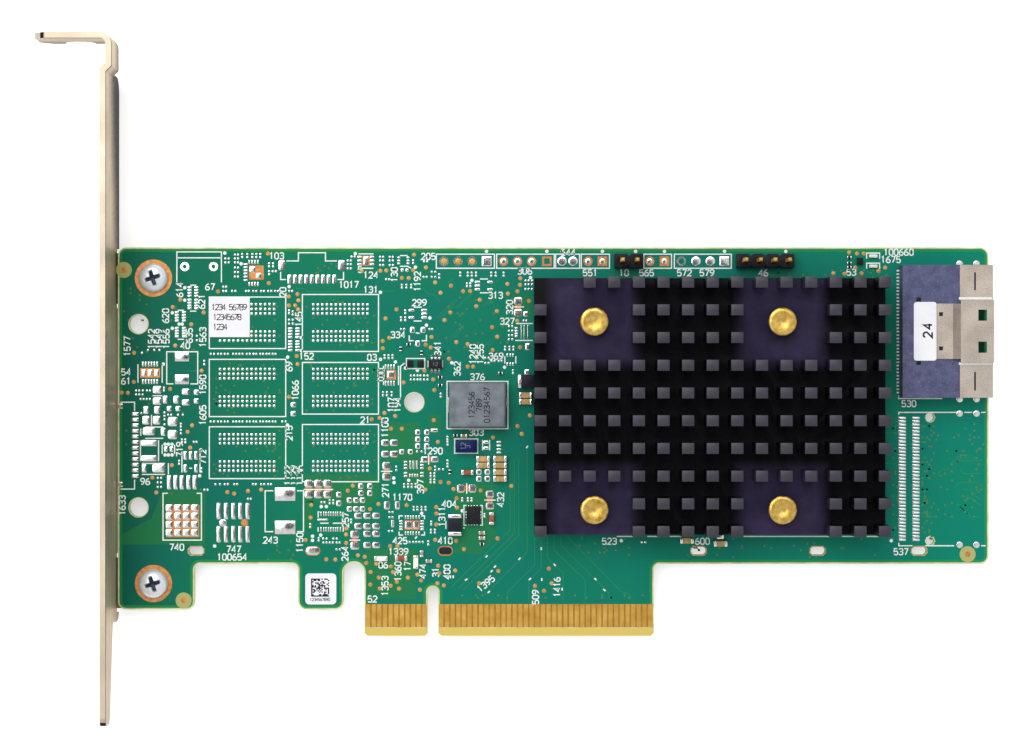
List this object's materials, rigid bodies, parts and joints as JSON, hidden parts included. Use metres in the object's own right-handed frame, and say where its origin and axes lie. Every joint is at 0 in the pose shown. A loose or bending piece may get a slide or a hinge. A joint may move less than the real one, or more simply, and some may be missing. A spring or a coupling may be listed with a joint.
{
  "type": "raid controller card",
  "caption": "Full-height storage controller card with a folded steel bracket, a pin-fin heat sink, an edge connector tongue and a right-angle drive port.",
  "frame": {"origin": "middle of the key notch at the tip of the contact tongue, on the component side of the board", "axes": "+X along the board away from the bracket, +Y from the edge contacts to the board's top edge, +Z out of the component side; the card lies flat on its back"},
  "size_m": [0.1671, 0.12, 0.0184],
  "materials": {
    "board_laminate": "satin teal green solder mask over glass laminate",
    "gold_plating": "bright gold plating",
    "bracket_steel": "satin plated sheet steel",
    "screw_steel": "bright plated steel",
    "black_anodised": "black anodised aluminium",
    "pin_brass": "turned brass",
    "spring_steel": "bright spring wire",
    "port_moulding": "dark blue moulding",
    "port_steel": "bright plated sheet steel",
    "tinned_metal": "tinned, slightly dull",
    "label_paper": "matt white",
    "black_moulding": "matt black",
    "tan_ceramic": "unglazed tan",
    "brown_ceramic": "unglazed brown",
    "white_ceramic": "unglazed white",
    "ferrite_grey": "matt grey",
    "module_blue": "dark blue, satin",
    "carrier_laminate": "green laminate",
    "silicon": "polished grey",
    "thermal_rubber": "soft matt pad",
    "lamp_lens": "clear white lens"
  },
  "bodies": {
    "root": {"array_chips": "black_moulding", "board_label": "label_paper", "bracket_screws": "screw_steel", "brown_capacitor_bodies": "brown_ceramic", "brown_capacitor_ends": "tinned_metal", "choke_bodies": "ferrite_grey", "choke_ends": "tinned_metal", "circuit_board": "board_laminate", "coil_lands": "tinned_metal", "controller_carrier": "carrier_laminate", "controller_die": "silicon", "edge_contacts": "gold_plating", "fuse_bodies": "white_ceramic", "fuse_ends": "tinned_metal", "header_bodies": "black_moulding", "header_pins": "gold_plating", "heat_sink": "black_anodised", "hook_label": "label_paper", "mounting_bracket": "bracket_steel", "port_contacts": "tinned_metal", "port_housing": "port_moulding", "port_label": "label_paper", "port_shell": "port_steel", "power_inductor_core": "ferrite_grey", "power_inductor_terminals": "tinned_metal", "power_module": "module_blue", "push_pin_springs": "spring_steel", "push_pins": "pin_brass", "regulator_chip": "black_moulding", "six_leg_chip_body": "black_moulding", "six_leg_chip_legs": "tinned_metal", "small_capacitor_bodies": "tan_ceramic", "small_capacitor_ends": "tinned_metal", "small_resistor_bodies": "black_moulding", "small_resistor_ends": "tinned_metal", "status_lamps": "lamp_lens", "tan_capacitor_bodies": "tan_ceramic", "tan_capacitor_ends": "tinned_metal", "thermal_pad": "thermal_rubber"}
  },
  "joints": []
}
